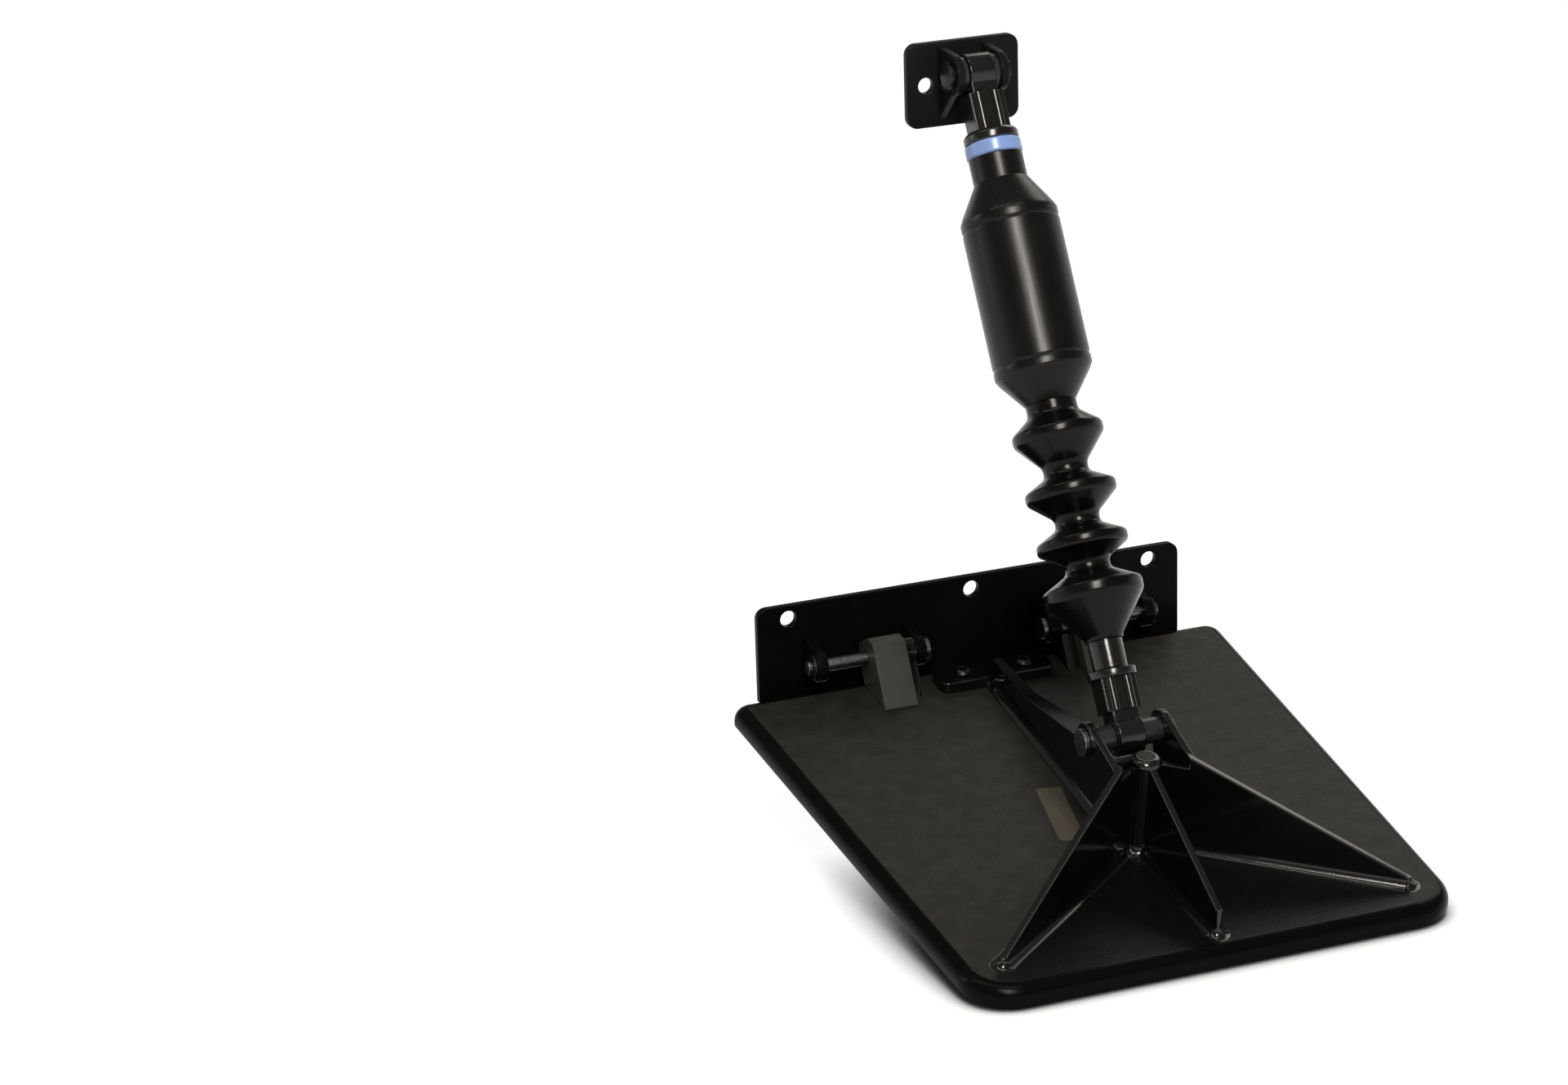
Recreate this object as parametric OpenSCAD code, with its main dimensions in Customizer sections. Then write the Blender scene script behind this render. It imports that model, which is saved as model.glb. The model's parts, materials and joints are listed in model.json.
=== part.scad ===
// Self-adjusting boat trim tab: a moulded tab on a transom hinge, held down by a gas strut.
// X runs along the hinge, +Y points forward into the transom and +Z points up.
// The origin is the middle bolt hole, on the mounting face of the hinge plate.

/* [Hinge plate] */
// Width of the hinge plate
hinge_plate_w = 208.5; // [200:0.5:230]
// Thickness of the hinge plate
hinge_plate_t = 4; // [3:0.5:6]
// Height of the hinge plate above its bolt holes
hinge_plate_rise = 6.3; // [6:0.1:12]
// Depth of the hinge plate below its bolt holes
hinge_plate_drop = 38; // [34:0.5:44]
// Radius of the upper corners of the hinge plate
hinge_plate_corner = 5; // [2:0.5:6]
// Distance between the two outer bolt holes
bolt_spacing = 178.5; // [160:0.5:186]
// Diameter of the transom bolt holes
bolt_hole_d = 7.5; // [5:0.1:8]

/* [Hinge] */
// Distance of the hinge axis behind the transom
hinge_back = 17; // [15:0.5:22]
// Depth of the hinge axis below the bolt holes
hinge_drop = 19.3; // [17:0.1:23]
// Diameter of the hinge pins
hinge_pin_d = 6; // [5:0.1:7]
// Outside radius of the hinge lugs and knuckles
knuckle_r = 7; // [6.5:0.1:8]
// Thickness of a hinge lug along the pin
lug_t = 5; // [4:0.5:7]
// Distance from the middle to the inner face of an inner lug
lug_in = 30.5; // [29:0.5:34]
// Distance from the middle to the outer face of an outer lug
lug_out = 83; // [80:0.5:86]
// Width of a tab knuckle along the pin
knuckle_w = 6; // [4:0.5:9]
// Width of a pin keeper along the pin
keeper_w = 16; // [12:0.5:22]

/* [Tab] */
// Width of the tab at its front edge
tab_w = 241.3; // [232:0.1:254]
// Amount by which each side narrows towards the rear
tab_taper = 9.4; // [0:0.1:14]
// Length of the tab from front to rear
tab_len = 253; // [246:0.5:268]
// Thickness of the tab at its edge
tab_t = 9.7; // [8.5:0.1:13]
// Radius that rounds the upper edge of the tab
tab_edge_r = 6; // [3:0.5:7]
// Radius of the rear corners of the tab
tab_rear_corner = 22; // [14:0.5:26]
// Radius of the front corners of the tab
tab_front_corner = 8; // [7.5:0.5:12]
// Angle by which the tab hangs down at rest
tab_droop = 9; // [5:0.5:12]
// Height of the hinge axis above the deck of the tab
hinge_height = 14.5; // [13.5:0.1:17]
// Distance from the hinge axis forward to the front edge of the tab
front_reach = 5.8; // [3:0.1:7]

/* [Webs and tower] */
// Thickness of the aft webs
web_t = 3.2; // [2.5:0.1:5]
// Thickness of the front web at the hinge
front_web_t = 3.6; // [3:0.1:6]
// Thickness of the front web where the aft webs meet
front_web_root_t = 15; // [12:0.5:18]
// Height of the front web beside the pads
front_web_h = 12; // [8:0.5:14]
// Radius of the fillets along the foot of each web
web_fillet = 4; // [2.5:0.25:4.5]
// Height at which the tops of the two diagonal webs would meet
web_top = 54; // [51:0.5:56]
// Height of a diagonal web above its fillet at its outer end
web_end = 0.4; // [0.2:0.1:2]
// Height of the middle web at its rear end
centre_web_end = 12; // [8:0.5:14]
// Height of the post where the webs meet
post_top = 44; // [40:0.5:46]
// Distance from the front edge to the place where the diagonal webs meet
web_root = 165; // [163:0.5:169]
// Distance from the middle to the foot of a diagonal web
diagonal_foot_x = 92.5; // [85:0.5:96]
// Distance from the front edge to the foot of a diagonal web
diagonal_foot_s = 234; // [226:0.5:238]
// Thickness of a strut ear
ear_t = 3.2; // [3:0.1:5]
// Outside radius of a strut ear around its pin
ear_r = 8.5; // [8:0.1:10]
// Depth of a strut ear below its pin
ear_drop = 24; // [18:0.5:28]
// Distance between the two strut ears
ear_gap = 31; // [28:0.5:34]

/* [Strut position] */
// Distance from the front edge of the tab to the lower strut pin
lower_pin_s = 149; // [145:0.5:153]
// Height of the lower strut pin above the deck
lower_pin_h = 43; // [40:0.5:46]
// Distance of the upper strut pin behind the transom
upper_pin_back = 18; // [16:0.5:22]
// Height of the upper strut pin above the bracket holes
upper_pin_rise = 7; // [4:0.5:8]
// Diameter of the two strut pins
strut_pin_d = 8; // [6:0.1:9]
// Free play at the lower strut pin, which takes up the sway of the strut
pivot_slack = 0.95; // [0.9:0.05:1.2]

/* [Upper bracket] */
// Width of the upper bracket
bracket_w = 53; // [50:0.5:64]
// Height of the upper bracket
bracket_h = 37.5; // [36:0.5:46]
// Thickness of the upper bracket
bracket_t = 4; // [3:0.5:6]
// Corner radius of the upper bracket
bracket_corner = 5; // [2:0.5:7]
// Height of the bracket holes above the hinge plate holes
bracket_z = 235; // [225:0.5:245]
// Distance between the two bracket holes
bracket_spacing = 35.2; // [34.5:0.1:38]
// Diameter of the bracket holes
bracket_hole_d = 7; // [4.5:0.1:7.5]
// Distance between the two bracket ears
bracket_ear_gap = 17; // [16:0.5:18]
// Thickness of a bracket ear
bracket_ear_t = 3.4; // [3:0.1:4]

/* [Strut] */
// Width of the strut end fittings along their pins
fitting_w = 12; // [10:0.5:13]
// Width of the shank of an end fitting
shank_w = 16; // [13:0.5:16.5]
// Outside radius of the eye of an end fitting
eye_r = 8.5; // [8:0.1:9]
// Length of an end fitting from its eye to its flange
shank_len = 27; // [24:0.5:30]
// Thickness of the flange of an end fitting
flange_t = 5; // [3:0.5:6]
// Diameter of the flange of the upper end fitting
flange_d = 24; // [22:0.1:26]
// Outside diameter of the gas tube
tube_d = 20; // [18.5:0.1:20.5]
// Wall of the gas tube
tube_wall = 1.5; // [1:0.1:2]
// Length of the gas tube
tube_len = 109; // [106:0.5:110]
// Diameter of the piston rod
rod_d = 8; // [6:0.1:9]
// Height of the coloured ring
ring_h = 6.5; // [4:0.5:9]
// Diameter of the coloured ring
ring_d = 24.6; // [22.5:0.1:27]
// Diameter of the neck of the shroud
neck_d = 23.6; // [22:0.1:25]
// Length of the neck of the shroud
neck_len = 11; // [8:0.5:13]
// Diameter of the shroud
shroud_d = 42.5; // [36:0.5:46]
// Length of the upper shoulder of the shroud
shoulder_len = 16; // [12:0.5:19]
// Length of the straight part of the shroud
shroud_len = 69; // [66:0.5:70]
// Length of the lower cone of the shroud
cone_len = 14; // [13.5:0.5:16]
// Wall of the shroud
shroud_wall = 2.5; // [2:0.1:3]

/* [Bellows] */
// Largest diameter of the folds
fold_d = 39.5; // [34:0.5:42]
// Diameter of the bellows between the folds
valley_d = 19.5; // [18:0.5:21]
// Diameter of the neck at the upper end of the bellows
boot_neck_d = 22; // [20:0.5:24]
// Distance between the first two folds
fold_pitch = 25.5; // [22:0.5:26]
// Each fold pitch as a share of the one above it
fold_shrink = 0.88; // [0.8:0.01:0.92]
// Diameter of the bell at the lower end
bell_d = 43; // [38:0.5:46]
// Wall of the bellows
bellows_wall = 1.8; // [1.2:0.1:2.2]
// Height of the cuff that carries the lower end of the bellows
cuff_h = 13; // [10:0.5:15]
// Diameter of the cuff
cuff_d = 15; // [14:0.1:17]

/* [Hidden] */
$fn = 64;

// Fits shared by every pair of pieces
run_fit = 0.06;
slip_fit = 0.1;
side_gap = 0.25;
seat_gap = 0.1;
cut = 1;

// Fasteners
clip_t = 1;
clip_wall = 3;
head_t = 2.4;
head_wall = 2;
pin_tail = 2;
screw_d = 4;
screw_head_d = 8;
screw_head_h = 2.4;
screw_depth = 5;
socket_d = 4;
socket_depth = 1.4;

// Pads beside the front web
pad_w = 25;
pad_l = 15;
pad_h = 5;
pad_corner = 4;
pad_gap = 5;
pad_s = 17;

// Hinge stations along X, measured outward from the middle
knuckle_in = lug_in + lug_t + side_gap;
keeper_in = knuckle_in + knuckle_w;
hinge_lug_rise = 10.5;
hinge_lug_fall = 9.5;
knuckle_foot = 22;
bush_wall = 1.5;

// Keeper outline above the deck, from the front edge of the tab
keeper_foot = 30;
keeper_crest_s = 12.3;
keeper_crest = hinge_height + knuckle_r + 3;
keeper_brow = knuckle_r + 1.5;

// Front web, a wedge in plan that rises towards the strut pin
front_web_s = 9;
front_web_crest_s = 20;
front_web_level_s = 55;
saddle_gap = 2.5;
saddle_h = lower_pin_h - eye_r - saddle_gap;
front_web_len = web_root - front_web_s;
wedge_turn = atan2((front_web_root_t - front_web_t) / 2, front_web_len);

// Post and aft webs
post_r = 7;
post_s = web_root + 4;
post_round = 3;
end_inset = 0.05;
fillet_steps = 6;
diagonal_len = norm([diagonal_foot_x, diagonal_foot_s - web_root]);
diagonal_turn = atan2(diagonal_foot_x, diagonal_foot_s - web_root);
diagonal_ratio = (diagonal_foot_s - web_root) / diagonal_foot_x;
diagonal_end_h = web_fillet + web_end;
centre_web_len = tab_len - tab_edge_r - web_t / 2 - web_fillet - post_s;
base_round = 1.5;
sink = 1;

// Strut ears, which stand forward of the diagonal webs
ear_face = ear_gap / 2;
ear_out = ear_face + ear_t;
ear_foot_s = lower_pin_s + 1;
ear_foot_h = lower_pin_h - ear_drop;
ear_tail_h = web_top + (diagonal_end_h - web_top) * ear_out / diagonal_foot_x;
ear_valley_h = post_top - 4;

// Strut geometry from its two pins
upper_pin_z = bracket_z + upper_pin_rise;
pin_y = front_reach - lower_pin_s;
pin_z = lower_pin_h - hinge_height;
lower_pin_y = -hinge_back + pin_y * cos(tab_droop) - pin_z * sin(tab_droop);
lower_pin_z = -hinge_drop + pin_y * sin(tab_droop) + pin_z * cos(tab_droop);
strut_run = -upper_pin_back - lower_pin_y;
strut_fall = upper_pin_z - lower_pin_z;
strut_len = norm([strut_run, strut_fall]);
strut_lean = atan2(strut_run, strut_fall);

// Stations down the strut from the upper pin
flange_end = shank_len + flange_t;
ring_end = flange_end + ring_h;
shroud_neck_end = ring_end + neck_len;
shoulder_end = shroud_neck_end + shoulder_len;
shroud_end = shoulder_end + shroud_len;
tube_r = tube_d / 2;
bore_r = tube_r - tube_wall;
tube_end = flange_end + tube_len;
tube_cover = 5;
cone_end = max(shroud_end + cone_len, tube_end + tube_cover);
spigot_h = 6;
spigot_end = cone_end + spigot_h;
spigot_d = boot_neck_d - 2 * bellows_wall - 2 * slip_fit;
gland_h = 11;
seal_h = 4;
gland_top = tube_end - gland_h;
seal_top = gland_top - seal_h;
plug_h = 8;
stud_d = 8;
stud_h = 14;
rod_passage = rod_d / 2 + 1.5;

// Piston and rod
piston_h = 10;
piston_end = seal_top - 4;
piston_top = piston_end - piston_h;
piston_gap = 0.3;
ring_groove_h = 3;
ring_groove_depth = 1.5;
rod_tip_d = 5.5;
rivet_d = 8;
rivet_h = 2.5;
rod_socket = 12;

// Lower end, measured up the strut from the lower pin
lower_flange_t = 3.5;
lower_flange_d = 21;
lower_flange_top = shank_len - 2.5 + lower_flange_t;
cuff_top = lower_flange_top + cuff_h;
cuff_spigot_h = 6;
cuff_spigot_d = cuff_d - 2.6;

// Shank section of the end fittings
shank_depth = 12;
shank_start = eye_r + 1.5;
rib_r = 2.2;
rib_x = 3.8;
rib_sink = 0.8;
lower_bush_wall = 1.4;

// Grooves near the ends of the straight part of the shroud
groove = 0.5;
groove_slope = 1.2;
groove_inset = 4;

// Bellows stations down the strut
bellows_top = cone_end;
bellows_end = strut_len - cuff_top;
fold_1 = bellows_top + fold_pitch / 2 + 1;
fold_2 = fold_1 + fold_pitch;
fold_3 = fold_2 + fold_pitch * fold_shrink;
bell_top = fold_3 + fold_pitch * fold_shrink * fold_shrink;
bell_lip = 2.5;
bell_end_r = cuff_d / 2 + 0.8;

black_gloss = [0.03, 0.03, 0.03];
black_matte = [0.17, 0.16, 0.15];
grey_acetal = [0.33, 0.33, 0.31];
black_rubber = [0.06, 0.06, 0.06];
stainless = [0.30, 0.30, 0.31];
steel_dark = [0.25, 0.25, 0.26];
nylon_black = [0.12, 0.12, 0.12];
ring_blue = [0.40, 0.53, 0.82];
brass_tint = [0.72, 0.58, 0.32];

// Flat outline of a rounded rectangle about the origin
module rounded_rect(w, h, r) {
  square([w - 2 * r, h], center = true);
  square([w, h - 2 * r], center = true);
  for (i = [-1, 1], j = [-1, 1])
    translate([i * (w / 2 - r), j * (h / 2 - r)])
      circle(r);
}

// Cylinder along X between two stations
module x_rod(r, x0, x1) {
  translate([x0, 0, 0])
    rotate([0, 90, 0])
      cylinder(r = r, h = x1 - x0);
}

// Plate between two X stations whose outline lies in the YZ plane
module x_plate(x0, x1) {
  translate([x0, 0, 0])
    rotate([90, 0, 90])
      linear_extrude(x1 - x0)
        children();
}

// Tube along X between two stations
module x_tube(r_out, r_in, x0, x1) {
  difference() {
    x_rod(r_out, x0, x1);
    x_rod(r_in, x0 - cut, x1 + cut);
  }
}

// Open retaining clip round a pin along X
module x_clip(pin_r, x0) {
  difference() {
    x_tube(pin_r + clip_wall, pin_r - clip_t / 2 + seat_gap, x0, x0 + clip_t);
    translate([x0 - cut, -pin_r * 0.8, -pin_r - clip_wall - cut])
      cube([clip_t + 2 * cut, pin_r * 1.6, pin_r + clip_wall + cut]);
  }
}

// Headed pin along X, with a clip groove at its far end
module x_pin(pin_r, x0, x1) {
  difference() {
    union() {
      x_rod(pin_r, x0 - head_t, x1 + clip_t + seat_gap + pin_tail);
      x_rod(pin_r + head_wall, x0 - head_t, x0);
    }
    x_tube(pin_r + cut, pin_r - clip_t / 2, x1, x1 + clip_t + seat_gap);
  }
}

// Both sides of the hinge, from children drawn on the +X side
module both_sides() {
  children();
  mirror([1, 0, 0])
    children();
}

module hinge_frame() {
  translate([0, -hinge_back, -hinge_drop])
    children();
}

// Frame of the tab at its hinge axis, hanging at its rest angle
module tab_frame() {
  hinge_frame()
    rotate([tab_droop, 0, 0])
      children();
}

// Frame of the deck: Y is minus the distance aft of the front edge, Z is the height above it
module deck_frame() {
  tab_frame()
    translate([0, front_reach, -hinge_height])
      children();
}

module upper_pin_frame() {
  translate([0, -upper_pin_back, upper_pin_z])
    children();
}

module lower_pin_frame() {
  translate([0, lower_pin_y, lower_pin_z])
    children();
}

// Frame of the strut: Z is minus the distance down the strut from the upper pin
module strut_frame() {
  upper_pin_frame()
    rotate([-strut_lean, 0, 0])
      children();
}

// Frame of the lower end: Z is the distance up the strut from the lower pin
module rod_frame() {
  lower_pin_frame()
    rotate([-strut_lean, 0, 0])
      children();
}

// Solid of revolution about the strut, from points of radius and station down the strut
module strut_turned(points) {
  strut_frame()
    rotate_extrude()
      polygon([for (p = points) [p[0], -p[1]]]);
}

// Ring about the strut between two stations
module strut_ring(r_out, r_in, d0, d1) {
  strut_turned([[r_in, d0], [r_out, d0], [r_out, d1], [r_in, d1]]);
}

// Outline of a hinge lug, from the plate to the hinge axis
module lug_outline() {
  circle(knuckle_r);
  polygon([
    [hinge_back - hinge_plate_t + cut, hinge_lug_rise],
    [0, knuckle_r],
    [0, -knuckle_r],
    [hinge_back - hinge_plate_t + cut, -hinge_lug_fall]
  ]);
}

module hinge_plate() {
  plate_h = hinge_plate_rise + hinge_plate_drop;
  color(black_gloss)
    difference() {
      union() {
        rotate([90, 0, 0])
          linear_extrude(hinge_plate_t) {
            translate([0, hinge_plate_rise - plate_h / 2])
              rounded_rect(hinge_plate_w, plate_h, hinge_plate_corner);
            translate([-hinge_plate_w / 2, -hinge_plate_drop])
              square([hinge_plate_w, plate_h / 2]);
          }
        hinge_frame()
          both_sides() {
            x_plate(lug_in, lug_in + lug_t)
              lug_outline();
            x_plate(lug_out - lug_t, lug_out)
              lug_outline();
          }
      }
      for (x = [-bolt_spacing / 2, 0, bolt_spacing / 2])
        translate([x, cut, 0])
          rotate([90, 0, 0])
            cylinder(d = bolt_hole_d, h = hinge_plate_t + 2 * cut);
      hinge_frame()
        both_sides()
          x_rod(hinge_pin_d / 2 + run_fit, lug_in - cut, lug_out + cut);
    }
}

module hinge_pins() {
  color(stainless)
    hinge_frame()
      both_sides()
        x_pin(hinge_pin_d / 2, lug_in - seat_gap, lug_out + seat_gap);
}

module hinge_pin_clips() {
  color(steel_dark)
    hinge_frame()
      both_sides()
        x_clip(hinge_pin_d / 2, lug_out + 1.5 * seat_gap);
}

module upper_bracket() {
  ear_in = bracket_ear_gap / 2;
  half_h = bracket_h / 2;
  color(black_gloss)
    difference() {
      union() {
        translate([0, 0, bracket_z])
          rotate([90, 0, 0])
            linear_extrude(bracket_t)
              rounded_rect(bracket_w, bracket_h, bracket_corner);
        upper_pin_frame()
          both_sides()
            x_plate(ear_in, ear_in + bracket_ear_t) {
              circle(ear_r + 0.5);
              polygon([
                [upper_pin_back - bracket_t + cut, half_h - upper_pin_rise - 2],
                [0, ear_r + 0.5],
                [-ear_r, -2],
                [0, -ear_r - 0.5],
                [upper_pin_back - bracket_t + cut, -half_h - upper_pin_rise + 2]
              ]);
            }
      }
      for (side = [-1, 1])
        translate([side * bracket_spacing / 2, cut, bracket_z])
          rotate([90, 0, 0])
            cylinder(d = bracket_hole_d, h = bracket_t + 2 * cut);
      upper_pin_frame()
        x_rod(strut_pin_d / 2 + run_fit, -bracket_w, bracket_w);
    }
}

module upper_pin() {
  face = bracket_ear_gap / 2 + bracket_ear_t + seat_gap;
  color(stainless)
    upper_pin_frame()
      x_pin(strut_pin_d / 2, -face, face);
}

module upper_pin_clip() {
  color(steel_dark)
    upper_pin_frame()
      x_clip(strut_pin_d / 2, bracket_ear_gap / 2 + bracket_ear_t + 1.5 * seat_gap);
}

module upper_pin_washers() {
  color(nylon_black)
    upper_pin_frame()
      both_sides()
        x_tube(eye_r - 1, strut_pin_d / 2 + run_fit, fitting_w / 2 + side_gap, bracket_ear_gap / 2);
}

// Corner of the slab: a disc with a rounded upper edge
module slab_corner(r) {
  rotate_extrude($fn = 48)
    polygon(concat(
      [[0, 0]],
      [for (a = [90:-15:0]) [r - tab_edge_r + tab_edge_r * cos(a), -tab_edge_r + tab_edge_r * sin(a)]],
      [[r, -tab_t + base_round], [r - base_round, -tab_t], [0, -tab_t]]
    ));
}

// The tapered slab of the tab, without its webs
module slab() {
  rear_half = tab_w / 2 - tab_taper;
  hull()
    for (side = [-1, 1]) {
      translate([side * (tab_w / 2 - tab_front_corner), -tab_front_corner, 0])
        slab_corner(tab_front_corner);
      translate([side * (rear_half - tab_rear_corner), tab_rear_corner - tab_len, 0])
        slab_corner(tab_rear_corner);
    }
}

// Fillet from the deck up to a wall at a distance from the axis
function fillet_arc(r) = [for (i = [0:fillet_steps]) let (a = 90 * i / fillet_steps)
  [r + web_fillet * (1 - sin(a)), web_fillet * (1 - cos(a))]];

// Fillet on the +X side of a wall face that runs along -Y
module foot_strip(len) {
  rotate([90, 0, 0])
    linear_extrude(len)
      polygon(concat(
        [[-sink, web_fillet], [-sink, -sink], [web_fillet, -sink]],
        fillet_arc(0)
      ));
}

// Round wall of one height about the Z axis, with the fillet round its foot
module round_foot(r, h) {
  rotate_extrude()
    polygon(concat([[0, h], [0, -sink], [r + web_fillet, -sink]], fillet_arc(r), [[r, h]]));
}

// Web that runs along -Y, falls from one height to another and ends round
module web(t, len, h0, h1) {
  x_plate(-t / 2, t / 2)
    polygon([[0, -sink], [0, h0], [-len, h1], [-len, -sink]]);
  both_sides()
    translate([t / 2, 0, 0])
      foot_strip(len);
  translate([0, -len, 0])
    round_foot(t / 2 - end_inset, h1);
}

// Front web: its side outline within a plan that widens towards the aft webs
module front_web() {
  intersection() {
    x_plate(-front_web_root_t, front_web_root_t)
      polygon([
        [-front_web_s, -sink],
        [-front_web_s, web_fillet],
        [-front_web_crest_s, front_web_h],
        [-front_web_level_s, front_web_h],
        [-lower_pin_s, saddle_h],
        [-web_root, ear_valley_h],
        [-web_root, -sink]
      ]);
    translate([0, 0, -2 * sink])
      linear_extrude(web_top)
        polygon([
          [-front_web_t / 2, -front_web_s],
          [front_web_t / 2, -front_web_s],
          [front_web_root_t / 2, -web_root],
          [-front_web_root_t / 2, -web_root]
        ]);
  }
  both_sides()
    translate([front_web_t / 2, -front_web_s, 0])
      rotate([0, 0, wedge_turn])
        foot_strip(front_web_len);
}

// Two diagonal webs, cut down between the strut ears
module diagonal_webs() {
  difference() {
    both_sides()
      translate([0, -web_root, 0])
        rotate([0, 0, diagonal_turn])
          web(web_t, diagonal_len, web_top, diagonal_end_h);
    translate([-ear_face, -web_root - ear_face, ear_valley_h])
      cube([ear_gap, 2 * ear_face, web_top]);
  }
}

// Strut ear on the +X side, ending in the middle of the diagonal web behind it
module ear() {
  tail_s = web_root + diagonal_ratio * ear_out;
  intersection() {
    x_plate(ear_face, ear_out) {
      translate([-lower_pin_s, lower_pin_h])
        circle(ear_r);
      polygon([
        [ear_r - lower_pin_s, lower_pin_h],
        [-ear_foot_s, ear_foot_h],
        [-tail_s, ear_foot_h],
        [-tail_s, ear_tail_h],
        [-lower_pin_s, lower_pin_h + ear_r]
      ]);
    }
    linear_extrude(web_top + ear_r)
      polygon([
        [ear_face, ear_r - lower_pin_s],
        [ear_out, ear_r - lower_pin_s],
        [ear_out, -tail_s],
        [ear_face, -web_root - diagonal_ratio * ear_face]
      ]);
  }
}

// Round post where the webs meet
module post() {
  translate([0, -post_s, 0]) {
    round_foot(post_r, post_top - post_round);
    rotate_extrude()
      polygon(concat(
        [[0, post_top - 2 * post_round]],
        [for (a = [0:15:90])
          [post_r - post_round + post_round * cos(a), post_top - post_round + post_round * sin(a)]],
        [[0, post_top]]
      ));
  }
}

// Outline of a tab knuckle in the deck frame
module knuckle_outline() {
  translate([-front_reach, hinge_height])
    circle(knuckle_r);
  polygon([
    [-tab_edge_r / 2, -tab_t / 2],
    [knuckle_r - front_reach, hinge_height],
    [-front_reach, hinge_height + knuckle_r],
    [-knuckle_foot, 0],
    [-knuckle_foot, -sink]
  ]);
}

// Two pads that flank the front web and carry a screw each
module pads() {
  for (side = [-1, 1])
    translate([side * (pad_gap + pad_w) / 2, -pad_s, -sink])
      linear_extrude(pad_h + sink)
        rounded_rect(pad_w, pad_l, pad_corner);
}

// Positions of the pad screws on top of the pads
module pad_screw_places() {
  for (side = [-1, 1])
    translate([side * (pad_gap + pad_w) / 2, -pad_s, pad_h])
      children();
}

module tab_plate() {
  color(black_matte)
    difference() {
      union() {
        deck_frame() {
          slab();
          pads();
          front_web();
          post();
          diagonal_webs();
          translate([0, -post_s, 0])
            web(web_t, centre_web_len, post_top, centre_web_end);
          both_sides() {
            ear();
            x_plate(knuckle_in, knuckle_in + knuckle_w)
              knuckle_outline();
          }
        }
      }
      tab_frame()
        both_sides()
          x_rod(hinge_pin_d / 2 + run_fit + bush_wall, knuckle_in - cut, keeper_in + cut);
      lower_pin_frame()
        x_rod(strut_pin_d / 2 + run_fit, -ear_out - cut, ear_out + cut);
      deck_frame()
        pad_screw_places()
          translate([0, 0, -screw_depth])
            cylinder(d = screw_d + 2 * run_fit, h = screw_depth + cut);
    }
}

// Grey blocks that trap the hinge pins above the deck
module pin_keepers() {
  color(grey_acetal)
    difference() {
      deck_frame()
        both_sides()
          x_plate(keeper_in, keeper_in + keeper_w)
            polygon([
              [-tab_edge_r, 0],
              [keeper_brow - front_reach, hinge_height - knuckle_r / 2],
              [keeper_brow - front_reach, hinge_height + knuckle_r / 2],
              [-front_reach, keeper_crest],
              [-keeper_crest_s, keeper_crest],
              [-keeper_foot, 1],
              [-keeper_foot, 0]
            ]);
      tab_frame()
        both_sides()
          x_rod(hinge_pin_d / 2 + run_fit, keeper_in - cut, keeper_in + keeper_w + cut);
    }
}

module knuckle_bushes() {
  pin_r = hinge_pin_d / 2 + run_fit;
  color(nylon_black)
    tab_frame()
      both_sides()
        x_tube(pin_r + bush_wall, pin_r, knuckle_in, keeper_in);
}

module pad_screws() {
  color(stainless)
    deck_frame()
      pad_screw_places()
        difference() {
          union() {
            translate([0, 0, -screw_depth])
              cylinder(d = screw_d, h = screw_depth + screw_head_h / 2);
            rotate_extrude()
              polygon([
                [0, 0],
                [screw_head_d / 2, 0],
                [screw_head_d / 2, screw_head_h / 3],
                [screw_head_d / 2 - 0.5, screw_head_h * 2 / 3],
                [screw_head_d / 2 - 1.5, screw_head_h],
                [0, screw_head_h]
              ]);
          }
          translate([0, 0, screw_head_h - socket_depth])
            cylinder(d = socket_d, h = socket_depth + cut, $fn = 6);
        }
}

module lower_pin() {
  face = ear_out + seat_gap;
  color(stainless)
    lower_pin_frame()
      x_pin(strut_pin_d / 2, -face, face);
}

module lower_pin_clip() {
  color(steel_dark)
    lower_pin_frame()
      x_clip(strut_pin_d / 2, ear_out + 1.5 * seat_gap);
}

module lower_pin_spacers() {
  pin_r = strut_pin_d / 2 + run_fit;
  color(nylon_black)
    lower_pin_frame()
      both_sides()
        x_tube(pin_r + bush_wall, pin_r, fitting_w / 2 + 2 * side_gap, ear_face);
}

// Eye and ribbed shank of an end fitting, with the shank running up Z from the eye
module eye_and_shank(len) {
  x_rod(eye_r, -fitting_w / 2, fitting_w / 2);
  translate([-fitting_w / 2, -shank_depth / 2, 0])
    cube([fitting_w, shank_depth, len]);
  translate([-shank_w / 2, -shank_depth / 2, shank_start])
    cube([shank_w, shank_depth, len - shank_start]);
  for (i = [-1, 1], j = [-1, 1])
    translate([i * rib_x, j * (shank_depth / 2 - rib_sink), shank_start])
      cylinder(r = rib_r, h = len - shank_start);
}

module top_fitting() {
  color(black_gloss)
    difference() {
      union() {
        strut_frame()
          mirror([0, 0, 1])
            eye_and_shank(shank_len + cut);
        strut_turned([
          [0, shank_len],
          [flange_d / 2 - 1.5, shank_len],
          [flange_d / 2, shank_len + 1.5],
          [flange_d / 2, flange_end],
          [0, flange_end]
        ]);
      }
      upper_pin_frame()
        x_rod(strut_pin_d / 2 + run_fit + bush_wall, -fitting_w, fitting_w);
      strut_turned([
        [0, flange_end - stud_h],
        [stud_d / 2 + run_fit, flange_end - stud_h],
        [stud_d / 2 + run_fit, flange_end + cut],
        [0, flange_end + cut]
      ]);
    }
}

module top_eye_bush() {
  pin_r = strut_pin_d / 2 + run_fit;
  color(brass_tint)
    upper_pin_frame()
      x_tube(pin_r + bush_wall, pin_r, -fitting_w / 2, fitting_w / 2);
}

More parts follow.
